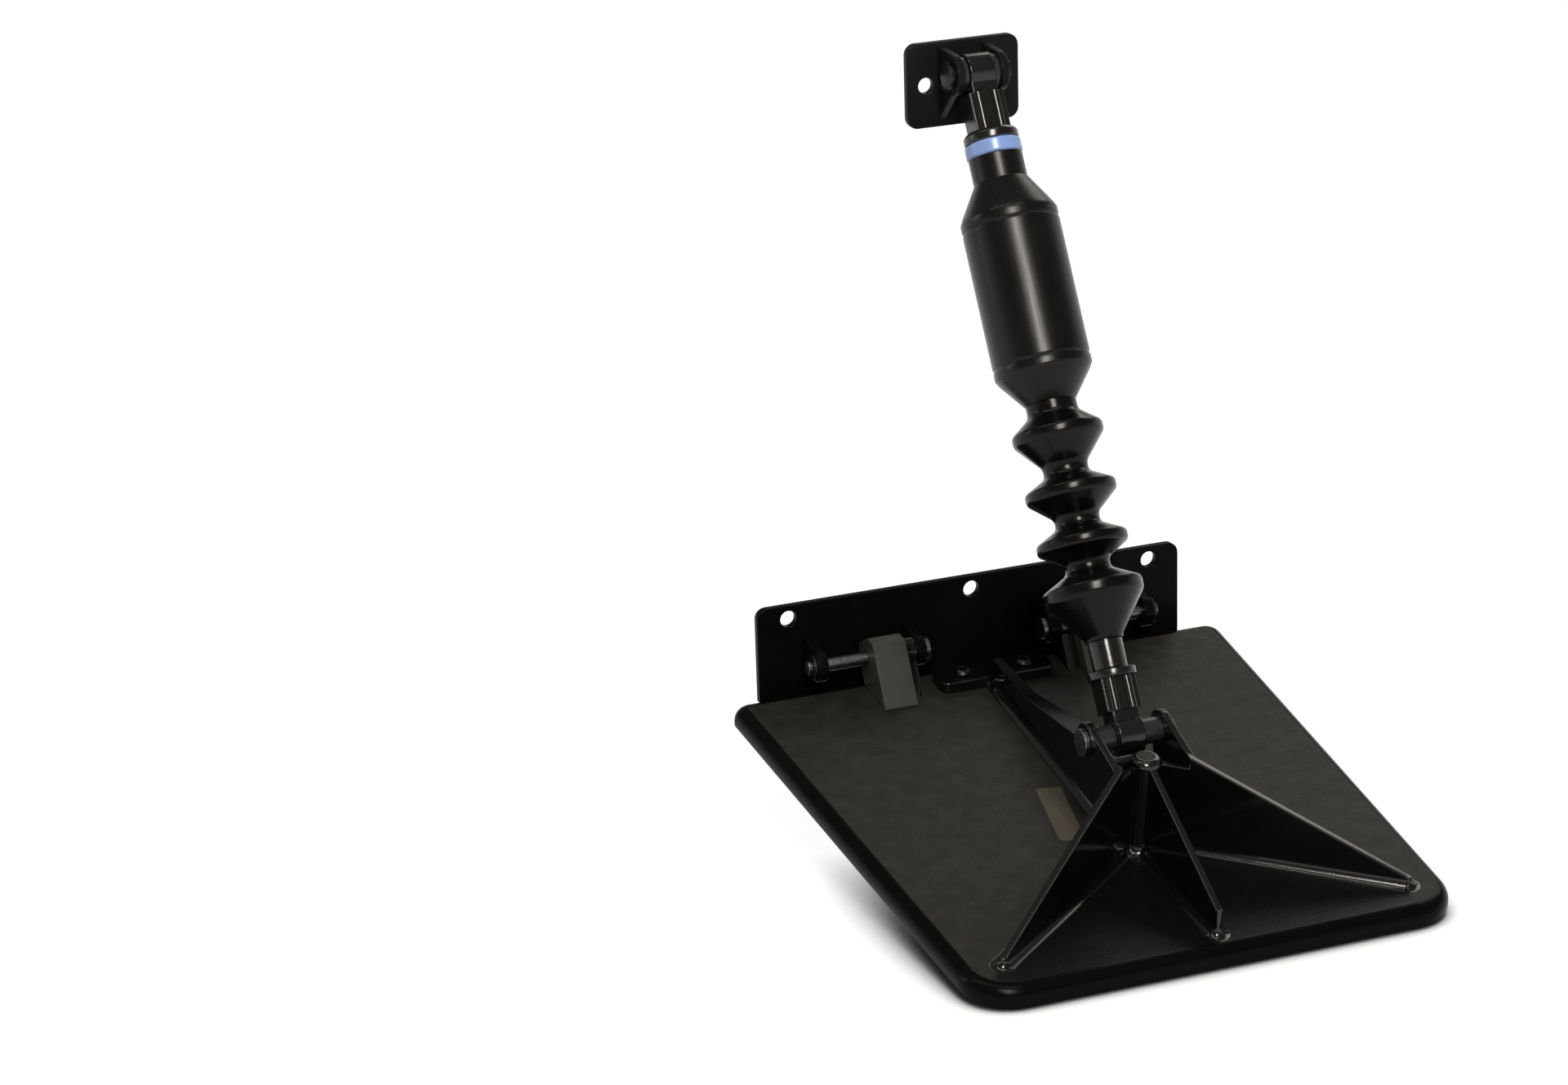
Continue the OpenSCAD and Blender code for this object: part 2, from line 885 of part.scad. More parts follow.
module end_plug() {
  color(steel_dark)
    strut_turned([
      [0, flange_end - stud_h],
      [stud_d / 2, flange_end - stud_h],
      [stud_d / 2, flange_end],
      [bore_r - run_fit, flange_end],
      [bore_r - run_fit, flange_end + plug_h],
      [0, flange_end + plug_h]
    ]);
}

module colour_ring() {
  r_out = ring_d / 2;
  r_in = tube_r + slip_fit;
  round_edge = 0.8;
  color(ring_blue)
    strut_turned([
      [r_in, flange_end],
      [r_out - round_edge, flange_end],
      [r_out, flange_end + round_edge],
      [r_out, ring_end - round_edge],
      [r_out - round_edge, ring_end],
      [r_in, ring_end]
    ]);
}

module gas_tube() {
  color(steel_dark)
    strut_ring(tube_r, bore_r, flange_end, tube_end);
}

module tube_shroud() {
  r_out = shroud_d / 2;
  r_in = r_out - shroud_wall;
  r_neck = neck_d / 2;
  r_bore = tube_r + slip_fit;
  color(black_gloss)
    strut_turned([
      [r_bore, ring_end],
      [r_neck, ring_end],
      [r_neck, shroud_neck_end],
      [r_out - 1.5, shoulder_end - 3],
      [r_out, shoulder_end],
      [r_out, shoulder_end + groove_inset - groove_slope],
      [r_out - groove, shoulder_end + groove_inset],
      [r_out, shoulder_end + groove_inset + groove_slope],
      [r_out, shroud_end - groove_inset - groove_slope],
      [r_out - groove, shroud_end - groove_inset],
      [r_out, shroud_end - groove_inset + groove_slope],
      [r_out, shroud_end],
      [r_out - 1.5, shroud_end + 2.5],
      [boot_neck_d / 2, cone_end],
      [spigot_d / 2, cone_end],
      [spigot_d / 2, spigot_end],
      [rod_passage, spigot_end],
      [rod_passage, cone_end],
      [tube_r, tube_end + seat_gap],
      [r_in, shroud_end],
      [r_in, shoulder_end],
      [r_bore, shroud_neck_end + shroud_wall]
    ]);
}

module rod_gland() {
  color(brass_tint)
    strut_ring(bore_r - run_fit, rod_d / 2 + run_fit, gland_top, tube_end);
}

module rod_seal() {
  color(black_rubber)
    strut_ring(bore_r - run_fit, rod_d / 2 + run_fit, seal_top, gland_top);
}

// Outer outline of the bellows as points of radius and station, from the top down
function bellows_outline() = let (
    r_fold = fold_d / 2,
    r_valley = valley_d / 2,
    r_bell = bell_d / 2,
    fold_flat = 1,
    folds = [fold_1, fold_2, fold_3],
    valleys = [(fold_1 + fold_2) / 2, (fold_2 + fold_3) / 2, (fold_3 + bell_top) / 2]
  )
  concat(
    [[r_valley, bellows_top], [r_valley, bellows_top + spigot_h]],
    [for (i = [0:2]) each [
      [r_fold, folds[i] - fold_flat],
      [r_fold, folds[i] + fold_flat],
      [r_valley, valleys[i] - fold_flat],
      [r_valley, valleys[i] + fold_flat]
    ]],
    [
      [r_bell - 1.5, bell_top - fold_flat],
      [r_bell, bell_top + fold_flat],
      [r_bell, bell_top + fold_flat + bell_lip],
      [bell_end_r, bellows_end - 1],
      [bell_end_r, bellows_end]
    ]
  );

module bellows_boot() {
  outer = bellows_outline();
  last = len(outer) - 3;
  inner = [for (i = [last:-1:2]) [outer[i][0] - bellows_wall, outer[i][1]]];
  r_top = spigot_d / 2 + slip_fit;
  r_low = cuff_spigot_d / 2 + slip_fit;
  color(black_rubber)
    strut_turned(concat(
      outer,
      [[r_low, bellows_end], [r_low, bellows_end - cuff_spigot_h]],
      inner,
      [[r_top, bellows_top + spigot_h], [r_top, bellows_top]]
    ));
}

module piston_rod() {
  socket_end = strut_len - rod_socket;
  color(stainless)
    strut_turned([
      [0, piston_top - rivet_h],
      [rivet_d / 2, piston_top - rivet_h],
      [rivet_d / 2, piston_top],
      [rod_tip_d / 2, piston_top],
      [rod_tip_d / 2, piston_end],
      [rod_d / 2, piston_end],
      [rod_d / 2, socket_end],
      [0, socket_end]
    ]);
}

module piston() {
  r_out = bore_r - piston_gap;
  r_groove = r_out - ring_groove_depth;
  groove_top = piston_top + (piston_h - ring_groove_h) / 2;
  color(brass_tint)
    strut_turned([
      [rod_tip_d / 2 + run_fit, piston_top],
      [r_out, piston_top],
      [r_out, groove_top],
      [r_groove, groove_top],
      [r_groove, groove_top + ring_groove_h],
      [r_out, groove_top + ring_groove_h],
      [r_out, piston_end],
      [rod_tip_d / 2 + run_fit, piston_end]
    ]);
}

module piston_ring() {
  groove_top = piston_top + (piston_h - ring_groove_h) / 2;
  r_groove = bore_r - piston_gap - ring_groove_depth;
  color(nylon_black)
    strut_ring(bore_r - run_fit, r_groove + run_fit, groove_top + run_fit,
      groove_top + ring_groove_h - run_fit);
}

module boot_cuff() {
  r_in = rod_d / 2 + run_fit;
  r_cuff = cuff_d / 2;
  spigot_r = cuff_spigot_d / 2;
  color(black_gloss)
    rod_frame()
      rotate_extrude()
        polygon([
          [r_in, lower_flange_top],
          [r_cuff - 0.5, lower_flange_top],
          [r_cuff, lower_flange_top + 1],
          [r_cuff, cuff_top],
          [spigot_r, cuff_top],
          [spigot_r, cuff_top + cuff_spigot_h],
          [r_in, cuff_top + cuff_spigot_h]
        ]);
}

module rod_end() {
  flange_base = lower_flange_top - lower_flange_t;
  bush_r = strut_pin_d / 2 + pivot_slack + lower_bush_wall;
  color(black_gloss)
    difference() {
      rod_frame()
        union() {
          eye_and_shank(flange_base + cut);
          translate([0, 0, flange_base])
            cylinder(d = lower_flange_d, h = lower_flange_t);
        }
      lower_pin_frame()
        x_rod(bush_r, -fitting_w, fitting_w);
      rod_frame()
        translate([0, 0, rod_socket])
          cylinder(r = rod_d / 2 + run_fit, h = lower_flange_top);
    }
}

module rod_end_bush() {
  bush_in = strut_pin_d / 2 + pivot_slack;
  color(nylon_black)
    lower_pin_frame()
      x_tube(bush_in + lower_bush_wall, bush_in, -fitting_w / 2, fitting_w / 2);
}

hinge_plate();
hinge_pins();
hinge_pin_clips();
upper_bracket();
upper_pin();
upper_pin_clip();
upper_pin_washers();
tab_plate();
pin_keepers();
knuckle_bushes();
pad_screws();
lower_pin();
lower_pin_clip();
lower_pin_spacers();
top_fitting();
top_eye_bush();
end_plug();
colour_ring();
gas_tube();
tube_shroud();
rod_gland();
rod_seal();
bellows_boot();
piston_rod();
piston();
piston_ring();
boot_cuff();
rod_end();
rod_end_bush();
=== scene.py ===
"""Looks of a self-adjusting boat trim tab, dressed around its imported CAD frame.

Lengths are metres in the frame's own axes: X along the hinge, +Y forward into the transom, +Z up.
"""

import json
import logging
import math
from dataclasses import dataclass, field
from enum import Enum, IntEnum
from typing import NamedTuple

import bmesh
import bpy
from mathutils import Matrix, Quaternion, Vector


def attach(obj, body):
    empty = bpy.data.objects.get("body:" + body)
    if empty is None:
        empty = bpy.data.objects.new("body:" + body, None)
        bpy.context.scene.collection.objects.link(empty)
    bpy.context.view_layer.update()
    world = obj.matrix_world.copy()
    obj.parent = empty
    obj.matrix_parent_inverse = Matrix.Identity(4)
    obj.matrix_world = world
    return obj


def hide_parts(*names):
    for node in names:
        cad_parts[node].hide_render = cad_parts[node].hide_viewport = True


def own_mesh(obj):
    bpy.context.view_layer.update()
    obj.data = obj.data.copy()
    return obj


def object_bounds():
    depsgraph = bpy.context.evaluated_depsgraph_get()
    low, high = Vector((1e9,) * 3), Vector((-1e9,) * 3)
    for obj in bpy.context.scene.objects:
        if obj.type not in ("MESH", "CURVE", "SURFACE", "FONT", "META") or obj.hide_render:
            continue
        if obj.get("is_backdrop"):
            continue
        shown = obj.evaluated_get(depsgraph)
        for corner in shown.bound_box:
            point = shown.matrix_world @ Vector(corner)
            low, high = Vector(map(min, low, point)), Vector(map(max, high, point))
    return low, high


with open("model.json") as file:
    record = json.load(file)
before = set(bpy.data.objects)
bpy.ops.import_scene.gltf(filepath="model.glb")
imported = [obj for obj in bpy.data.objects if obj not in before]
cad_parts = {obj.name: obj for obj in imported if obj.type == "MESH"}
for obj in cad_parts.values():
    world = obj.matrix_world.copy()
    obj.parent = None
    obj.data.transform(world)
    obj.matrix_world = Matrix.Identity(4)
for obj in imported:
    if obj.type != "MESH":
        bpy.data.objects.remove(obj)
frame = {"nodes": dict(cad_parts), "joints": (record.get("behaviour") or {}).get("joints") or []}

LOG = logging.getLogger("trim_tab")
MM = 0.001
WELD = 1e-6
SHARP_DEG = 35.0
ACROSS = Vector((1.0, 0.0, 0.0))
WHITE = (1.0, 1.0, 1.0, 1.0)

# The part of its range that most of a noise lies in.
NOISE_SPAN = (0.3, 0.7)

# Sockets of a Mix node that blends colours, by number because their names repeat.
MIX_FACTOR, MIX_FIRST, MIX_SECOND, MIX_RESULT = 0, 6, 7, 2

Colour = tuple[float, float, float]
Triple = tuple[float, float, float]
Span = tuple[float, float]
Socket = bpy.types.NodeSocket


class Body(Enum):
    """The bodies of the linkage."""

    TRANSOM = "transom"
    TAB = "tab"
    CYLINDER = "cylinder"
    ROD = "rod"


class Pattern(Enum):
    """How the grain of a finish is stretched along its own axes."""

    EVEN = (1.0, 1.0, 1.0)
    DRAWN = (1.0, 1.0, 0.05)


class Rounded(Enum):
    """What a rounding takes off."""

    EDGES = "EDGES"
    CORNERS = "VERTICES"


class TabArea(IntEnum):
    """Areas of the moulded tab, in the order of its materials."""

    DECK = 0
    RIM = 1
    WEB = 2


class Graph:
    """The node tree of one material or world, with short ways to add nodes to it."""

    def __init__(self, owner: bpy.types.Material | bpy.types.World) -> None:
        """Starts with an empty tree.

        Args:
            owner: The material or world that the nodes belong to.
        """
        owner.use_nodes = True
        self.owner = owner
        self.tree = owner.node_tree
        self.tree.nodes.clear()

    def add(self, kind: str, **sockets: object) -> bpy.types.Node:
        """Adds a node and fills its inputs.

        Args:
            kind: Type of the node.
            sockets: Input names, with underscores for spaces, and their values or source sockets.

        Returns:
            The new node.
        """
        node = self.tree.nodes.new(kind)
        for name, value in sockets.items():
            self.feed(node.inputs[name.replace("_", " ")], value)
        return node

    def feed(self, socket: Socket, value: object) -> None:
        """Sets one input, or links it.

        Args:
            socket: The input to fill.
            value: A constant, or the output socket to link from.
        """
        if isinstance(value, Socket):
            self.tree.links.new(value, socket)
        else:
            socket.default_value = value

    def place(self, scale: Triple = Pattern.EVEN.value, turn_x: float = 0.0) -> Socket:
        """Object coordinates, turned about X and then stretched.

        Args:
            scale: Stretch along each axis.
            turn_x: Turn about X in radians.

        Returns:
            The vector socket.
        """
        source = self.add("ShaderNodeTexCoord")
        turned = self.add("ShaderNodeMapping", Vector=source.outputs["Object"], Rotation=(turn_x, 0.0, 0.0))
        stretched = self.add("ShaderNodeMapping", Vector=turned.outputs["Vector"], Scale=scale)
        return stretched.outputs["Vector"]

    def noise(self, where: Socket, scale: float, detail: float = 2.0) -> Socket:
        """Smooth noise from 0 to 1.

        Args:
            where: Coordinates that it reads.
            scale: Bumps per metre.
            detail: Octaves of finer noise.

        Returns:
            The value socket.
        """
        return self.add("ShaderNodeTexNoise", Vector=where, Scale=scale, Detail=detail).outputs["Fac"]

    def ramp(self, value: Socket, source: Span, target: Span = (0.0, 1.0), smooth: bool = False) -> Socket:
        """Maps one range of numbers to another and holds the ends.

        Args:
            value: The number to map.
            source: The range that it is read in.
            target: The range that it is mapped to.
            smooth: Whether the ends are eased.

        Returns:
            The value socket.
        """
        node = self.add(
            "ShaderNodeMapRange", Value=value,
            From_Min=source[0], From_Max=source[1], To_Min=target[0], To_Max=target[1],
        )
        if smooth:
            node.interpolation_type = "SMOOTHSTEP"
        return node.outputs["Result"]

    def shade(self, amount: Socket, dark: Colour, light: Colour) -> Socket:
        """Maps the middle of a noise to a blend of two colours.

        Args:
            amount: Noise from 0 to 1.
            dark: Colour at the low end.
            light: Colour at the high end.

        Returns:
            The colour socket.
        """
        node = self.add("ShaderNodeValToRGB", Fac=amount)
        for stop, position, colour in zip(node.color_ramp.elements, NOISE_SPAN, (dark, light)):
            stop.position = position
            stop.color = (*colour, 1.0)
        return node.outputs["Color"]

    def bump(self, height: Socket, depth: float, strength: float) -> Socket:
        """Bump from a height.

        Args:
            height: Height from 0 to 1.
            depth: Depth in metres of a full height.
            strength: Share of the bump that shows.

        Returns:
            The normal socket.
        """
        node = self.add("ShaderNodeBump", Height=height, Distance=depth, Strength=strength)
        return node.outputs["Normal"]

    def math(self, operation: str, *values: object) -> Socket:
        """Works out one number from others.

        Args:
            operation: Name of the operation.
            values: Constants or source sockets, in the node's order.

        Returns:
            The value socket.
        """
        node = self.add("ShaderNodeMath")
        node.operation = operation
        for socket, value in zip(node.inputs, values):
            self.feed(socket, value)
        return node.outputs["Value"]

    def blend(self, share: Socket, first: Socket, second: Socket) -> Socket:
        """Blends two colours.

        Args:
            share: Share of the second colour.
            first: Colour at a share of zero.
            second: Colour at a share of one.

        Returns:
            The colour socket.
        """
        node = self.add("ShaderNodeMix")
        node.data_type = "RGBA"
        for number, value in {MIX_FACTOR: share, MIX_FIRST: first, MIX_SECOND: second}.items():
            self.feed(node.inputs[number], value)
        return node.outputs[MIX_RESULT]

    def seen_rays(self) -> Socket:
        """One for rays by which the surface is seen, directly or in metal and glass, and zero for others.

        Returns:
            The value socket.
        """
        path = self.add("ShaderNodeLightPath")
        seen = path.outputs["Is Camera Ray"]
        for ray in ("Is Glossy Ray", "Is Transmission Ray"):
            seen = self.math("MAXIMUM", seen, path.outputs[ray])
        return seen

    def surface(self, **sockets: object) -> bpy.types.Material:
        """Closes a material with one principled surface.

        Args:
            sockets: Inputs of the principled surface.

        Returns:
            The finished material.
        """
        principled = self.add("ShaderNodeBsdfPrincipled", **sockets)
        self.add("ShaderNodeOutputMaterial", Surface=principled.outputs["BSDF"])
        return self.owner


@dataclass(frozen=True)
class Finish:
    """A surface finish: its colour, gloss and grain, and the record's slot for it.

    The scales are bumps per metre, and the mottle is a share of the colour.
    """

    name: str
    slot: str
    colour: Colour
    mottle: float = 0.25
    roughness: Span = (0.2, 0.3)
    specular: float = 0.5
    metallic: float = 0.0
    cloud_scale: float = 45.0
    cloud_detail: float = 4.0
    grain_scale: float = 900.0
    grain_depth: float = 0.05 * MM
    grain_strength: float = 0.3
    pattern: Pattern = Pattern.EVEN

    def tint(self, share: float) -> Colour:
        """A share of the colour."""
        return tuple(min(1.0, channel * share) for channel in self.colour)

    def mottled(self, graph: Graph, clouds: Socket, share: float = 1.0) -> Socket:
        """The colour, lighter and darker in clouds.

        Args:
            graph: The material's nodes.
            clouds: Noise from 0 to 1.
            share: Share of the colour that is mottled.

        Returns:
            The colour socket.
        """
        dark, light = (self.tint(share * (1.0 + change)) for change in (-self.mottle, self.mottle))
        return graph.shade(clouds, dark, light)

    def material(self, turn_x: float = 0.0) -> bpy.types.Material:
        """Builds the material.

        Args:
            turn_x: Turn about X that brings the piece's axis upright.

        Returns:
            The material.
        """
        graph = Graph(bpy.data.materials.new(self.name))
        clouds = graph.noise(graph.place(), self.cloud_scale, self.cloud_detail)
        grain = graph.noise(graph.place(self.pattern.value, turn_x), self.grain_scale)
        return graph.surface(
            Base_Color=self.mottled(graph, clouds),
            Roughness=graph.ramp(grain, NOISE_SPAN, self.roughness),
            Metallic=self.metallic,
            Specular_IOR_Level=self.specular,
            Normal=graph.bump(grain, self.grain_depth, self.grain_strength),
        )


@dataclass(frozen=True)
class DeckFinish(Finish):
    """The finish of the deck: grained in front of the diagonal webs, smoother in the bays behind, with
    painted shade there.

    The roughness of the bays is a share of that in front, and their colour is a darker share of it that
    paints the shade of the webs. The root is how far aft the webs start on the middle line, the slope is how
    far forward they run for each unit across, and the edge is the width of the change.
    """

    # Share of the colour left in the bays: painted shade of the webs.
    bay_painted_shade: float = 0.12
    bay_roughness: float = 0.8
    bay_root: float = 172.0 * MM
    bay_slope: float = 0.737
    bay_edge: float = 3.0 * MM

    def bay(self, graph: Graph, where: Socket) -> Socket:
        """One in the bays behind the diagonal webs, and zero in front of them.

        Args:
            graph: The material's nodes.
            where: Object coordinates.

        Returns:
            The value socket.
        """
        parts = graph.add("ShaderNodeSeparateXYZ", Vector=where)
        across = graph.math("ABSOLUTE", parts.outputs["X"])
        line = graph.math("MULTIPLY_ADD", across, self.bay_slope, self.bay_root)
        return graph.ramp(graph.math("ADD", line, parts.outputs["Y"]), (0.0, -self.bay_edge))

    def material(self, turn_x: float = 0.0) -> bpy.types.Material:
        """Builds the material, with the bays told apart by their place and darkened there as painted shade.

        Args:
            turn_x: Turn about X that brings the piece's axis upright.

        Returns:
            The material.
        """
        graph = Graph(bpy.data.materials.new(self.name))
        where = graph.place()
        clouds = graph.noise(where, self.cloud_scale, self.cloud_detail)
        grain = graph.noise(graph.place(self.pattern.value, turn_x), self.grain_scale)
        bay = self.bay(graph, where)
        # The bays get a darker copy of the mottled colour, as painted shade of the webs.
        front, bay_shaded_colour = self.mottled(graph, clouds), self.mottled(graph, clouds, self.bay_painted_shade)
        smooth = graph.math("MULTIPLY_ADD", bay, self.bay_roughness - 1.0, 1.0)
        return graph.surface(
            Base_Color=graph.blend(bay, front, bay_shaded_colour),
            Roughness=graph.math("MULTIPLY", graph.ramp(grain, NOISE_SPAN, self.roughness), smooth),
            Specular_IOR_Level=self.specular,
            Normal=graph.bump(grain, self.grain_depth, self.grain_strength),
        )


PLATE_BLACK = Finish(
    "plate_black", "gloss_black", (0.0022, 0.0022, 0.0022), roughness=(0.22, 0.32), specular=0.04,
)
BRACKET_BLACK = Finish(
    "bracket_black", "gloss_black", (0.008, 0.008, 0.0077), roughness=(0.25, 0.35), specular=0.06,
)
GLOSS_BLACK = Finish("gloss_black", "gloss_black", (0.003, 0.003, 0.0027), roughness=(0.14, 0.22))
RIM_BLACK = Finish(
    "rim_black", "deck_black", (0.0018, 0.0018, 0.0016), roughness=(0.2, 0.28), specular=0.05,
)
WEB_BLACK = Finish("web_black", "deck_black", (0.0022, 0.0022, 0.002), roughness=(0.1, 0.17))
DECK_BLACK = DeckFinish(
    "deck_grain_and_bay_shade", "deck_black", (0.0128, 0.0118, 0.0098), mottle=0.3, roughness=(0.45, 0.6), specular=0.14,
    cloud_scale=130.0, grain_scale=1400.0, grain_depth=0.2 * MM, grain_strength=0.6,
)
KEEPER_GREY = Finish(
    "keeper_grey", "keeper_grey", (0.03, 0.03, 0.0262), roughness=(0.4, 0.5), specular=0.2,
)
LABEL_BARE = Finish(
    "label_bare", "keeper_grey", (0.048, 0.042, 0.032), mottle=0.1, roughness=(0.4, 0.5), specular=0.2,
)
SHROUD_BLACK = Finish(
    "shroud_satin", "shroud_black", (0.0026, 0.0024, 0.0019), roughness=(0.24, 0.32), specular=0.22,
    grain_strength=0.15, pattern=Pattern.DRAWN,
)
RUBBER = Finish(
    "boot_rubber", "rubber_black", (0.0022, 0.002, 0.0016), roughness=(0.16, 0.24), specular=0.18,
)
STAINLESS = Finish(
    "stainless", "stainless", (0.16, 0.16, 0.165), mottle=0.15, roughness=(0.24, 0.38), metallic=1.0,
)
PIN_DARK = Finish(
    "stainless_dark", "stainless", (0.03, 0.03, 0.031), mottle=0.15, roughness=(0.28, 0.4), metallic=1.0,
)
SPRING_STEEL = Finish(
    "spring_steel", "spring_steel", (0.03, 0.03, 0.032), mottle=0.15, roughness=(0.3, 0.45), metallic=1.0,
)
NYLON = Finish(
    "nylon", "nylon", (0.012, 0.012, 0.0115), mottle=0.15, roughness=(0.25, 0.35), specular=0.4,
)
BRONZE = Finish("bronze", "bronze", (0.5, 0.33, 0.13), mottle=0.2, roughness=(0.3, 0.5), metallic=1.0)
TUBE_PAINT = Finish("tube_paint", "tube_paint", (0.012, 0.012, 0.012), roughness=(0.25, 0.35))
RING_BLUE = Finish("ring_blue", "ring_blue", (0.18, 0.27, 0.54), mottle=0.08, roughness=(0.2, 0.28))


class Corner(NamedTuple):
    """A corner of a turned profile: its radius, its station and how far it is rounded back."""

    radius: float
    station: float
    round: float = 0.0


def joint(name: str) -> dict:
    """The frame's entry for a joint."""
    return next(entry for entry in frame["joints"] if entry["name"] == name)


def new_piece(name: str, shape: bmesh.types.BMesh, sharp_deg: float = SHARP_DEG) -> bpy.types.Object:
    """Makes a smooth-shaded object at the origin from a bmesh.

    Args:
        name: Name of the piece.
        shape: Its shape, which is freed.
        sharp_deg: Angle above which an edge stays sharp.

    Returns:
        The object.
    """
    mesh = bpy.data.meshes.new(name)
    shape.to_mesh(mesh)
    shape.free()
    mesh.polygons.foreach_set("use_smooth", [True] * len(mesh.polygons))
    mesh.set_sharp_from_angle(angle=math.radians(sharp_deg))
    piece = bpy.data.objects.new(name, mesh)
    bpy.context.scene.collection.objects.link(piece)
    return piece


def dress(piece: bpy.types.Object, body: Body, finish: Finish, turn_x: float = 0.0) -> None:
    """Gives a piece its material and the body that it rides on.

    Args:
        piece: The piece.
        body: The body that carries it.
        finish: Its finish, which names the record's slot.
        turn_x: Turn about X that brings the piece's axis upright.
    """
    piece.data.materials.clear()
    piece.data.materials.append(finish.material(turn_x))
    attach(piece, body.value)
    LOG.info("%s rides on %s, %d faces", piece.name, body.value, len(piece.data.polygons))


def weigh_normals(piece: bpy.types.Object) -> None:
    """Keeps large flat faces flat beside their rounded edges."""
    modifier = piece.modifiers.new("weighted_normals", "WEIGHTED_NORMAL")
    modifier.keep_sharp = True


def round_off(
    shape: bmesh.types.BMesh, geometry: list, width: float, segments: int,
    affect: Rounded = Rounded.EDGES, clamp: bool = False, slide: bool = False,
) -> None:
    """Rounds edges or corners off.

    Args:
        shape: The shape to change.
        geometry: The edges, or the vertices with the edges that meet there.
        width: How far the rounding reaches back.
        segments: Steps of the rounding.
        affect: Whether edges or corners are rounded.
        clamp: Whether a rounding stops where it would overlap another.
        slide: Whether a rounding slides along the edges that it meets.
    """
    bmesh.ops.bevel(
        shape, geom=geometry, offset=width, offset_type="OFFSET", segments=segments, profile=0.5,
        affect=affect.value, material=-1, clamp_overlap=clamp, loop_slide=slide,
    )


def softened_copy(
    node: str, width: float, segments: int = 2,
    flat: float = math.radians(0.5), outer: float = math.radians(28.0),
) -> bmesh.types.BMesh:
    """A welded copy of a CAD node with its outer edges rounded.

    Args:
        node: Name of the CAD node.
        width: Width of the rounding.
        segments: Steps of the rounding.
        flat: Angle in radians up to which faces are joined into one.
        outer: Angle in radians above which an outer edge is rounded.

    Returns:
        The rounded shape.
    """
    shape = bmesh.new()
    shape.from_mesh(frame["nodes"][node].data)
    bmesh.ops.remove_doubles(shape, verts=shape.verts, dist=WELD)
    bmesh.ops.dissolve_limit(
        shape, angle_limit=flat, use_dissolve_boundaries=False,
        verts=shape.verts, edges=shape.edges, delimit=set(),
    )
    edges = [edge for edge in shape.edges if edge.is_manifold and edge.calc_face_angle_signed() > outer]
    round_off(shape, edges, width, segments, slide=True)
    return shape


@dataclass(frozen=True)
class Strut:
    """The line of the strut, taken from its joints. A station is a distance down it from the upper pin."""

    top: Vector
    up: Vector

    @classmethod
    def from_joints(cls) -> "Strut":
        """Reads the upper pin and the sliding axis from the frame's joints."""
        return cls(Vector(joint("strut_swing")["pos_m"]), Vector(joint("rod_slide")["axis"]).normalized())

    @property
    def lean(self) -> float:
        """Turn about X in radians that brings the strut upright."""
        return math.atan2(self.up.y, self.up.z)

    def station(self, point: Vector) -> float:
        """Station of a point."""
        return (self.top - point).dot(self.up)

    def at(self, station: float) -> Vector:
        """Point on the axis at a station."""
        return self.top - self.up * station

    def outward(self, point: Vector) -> Vector:
        """Direction of a point straight out from the axis."""
        return (point - self.at(self.station(point))).normalized()

    def reach(self, node: str) -> Span:
        """Stations of the upper and lower end of a CAD node."""
        stations = [self.station(vertex.co) for vertex in frame["nodes"][node].data.vertices]
        return min(stations), max(stations)

    def facing(self, face: bpy.types.MeshPolygon) -> Vector:
        """How a face of a turned piece looks.

        Args:
            face: The face.

        Returns:
            How far it looks out from the axis, and how far up along it.
        """
        rise = face.normal.dot(self.up)
        spread = math.sqrt(max(0.0, 1.0 - rise * rise))
        return Vector((math.copysign(spread, face.normal.dot(self.outward(face.center))), rise))

    def round_normals(
        self, piece: bpy.types.Object, soft: float = math.radians(28.0), least: float = 1.0 * MM,
    ) -> None:
        """Shades a turned piece as round, whatever its facets, and softly over its shallow steps.

        Args:
            piece: A piece turned about the strut.
            soft: Angle in radians between two faces up to which their edge is shaded over.
            least: Length that is added to a face's own length where faces are weighed.
        """
        mesh = piece.data
        facings = [self.facing(face) for face in mesh.polygons]
        around = [[] for _ in mesh.vertices]
        for face, facing in zip(mesh.polygons, facings):
            stations = [self.station(mesh.vertices[i].co) for i in face.vertices]
            weight = (max(stations) - min(stations)) ** 2 + least ** 2
            for i in face.vertices:
                around[i].append((facing, weight))
        normals = []
        for face, facing in zip(mesh.polygons, facings):
            for i in face.vertices:
                near = [other * weight for other, weight in around[i] if other.dot(facing) > math.cos(soft)]
                spread, rise = sum(near, Vector((0.0, 0.0))).normalized()
                normals.append(self.outward(mesh.vertices[i].co) * spread + self.up * rise)
        mesh.normals_split_custom_set(normals)

    def turned(self, profile: list[Corner], steps: int = 96, arc: int = 5) -> bmesh.types.BMesh:
        """Turns a closed profile about the strut.

        Args:
            profile: Corners of the profile in order.
            steps: Steps of the full turn.
            arc: Steps of each rounded corner.

        Returns:
            The turned shape.
        """
        shape = bmesh.new()
        points = [shape.verts.new(self.at(corner.station) + ACROSS * corner.radius) for corner in profile]
        for start, end in zip(points, points[1:] + points[:1]):
            shape.edges.new((start, end))
        for width in sorted({corner.round for corner in profile if corner.round > 0.0}):
            chosen = [point for point, corner in zip(points, profile) if corner.round == width]
            round_off(shape, chosen + shape.edges[:], width, arc, Rounded.CORNERS)
        bmesh.ops.spin(
            shape, geom=shape.verts[:] + shape.edges[:], cent=self.top, axis=self.up,
            angle=math.tau, steps=steps, use_merge=True, use_duplicate=False,
        )
        bmesh.ops.remove_doubles(shape, verts=shape.verts, dist=WELD)
        bmesh.ops.recalc_face_normals(shape, faces=shape.faces)
        return shape


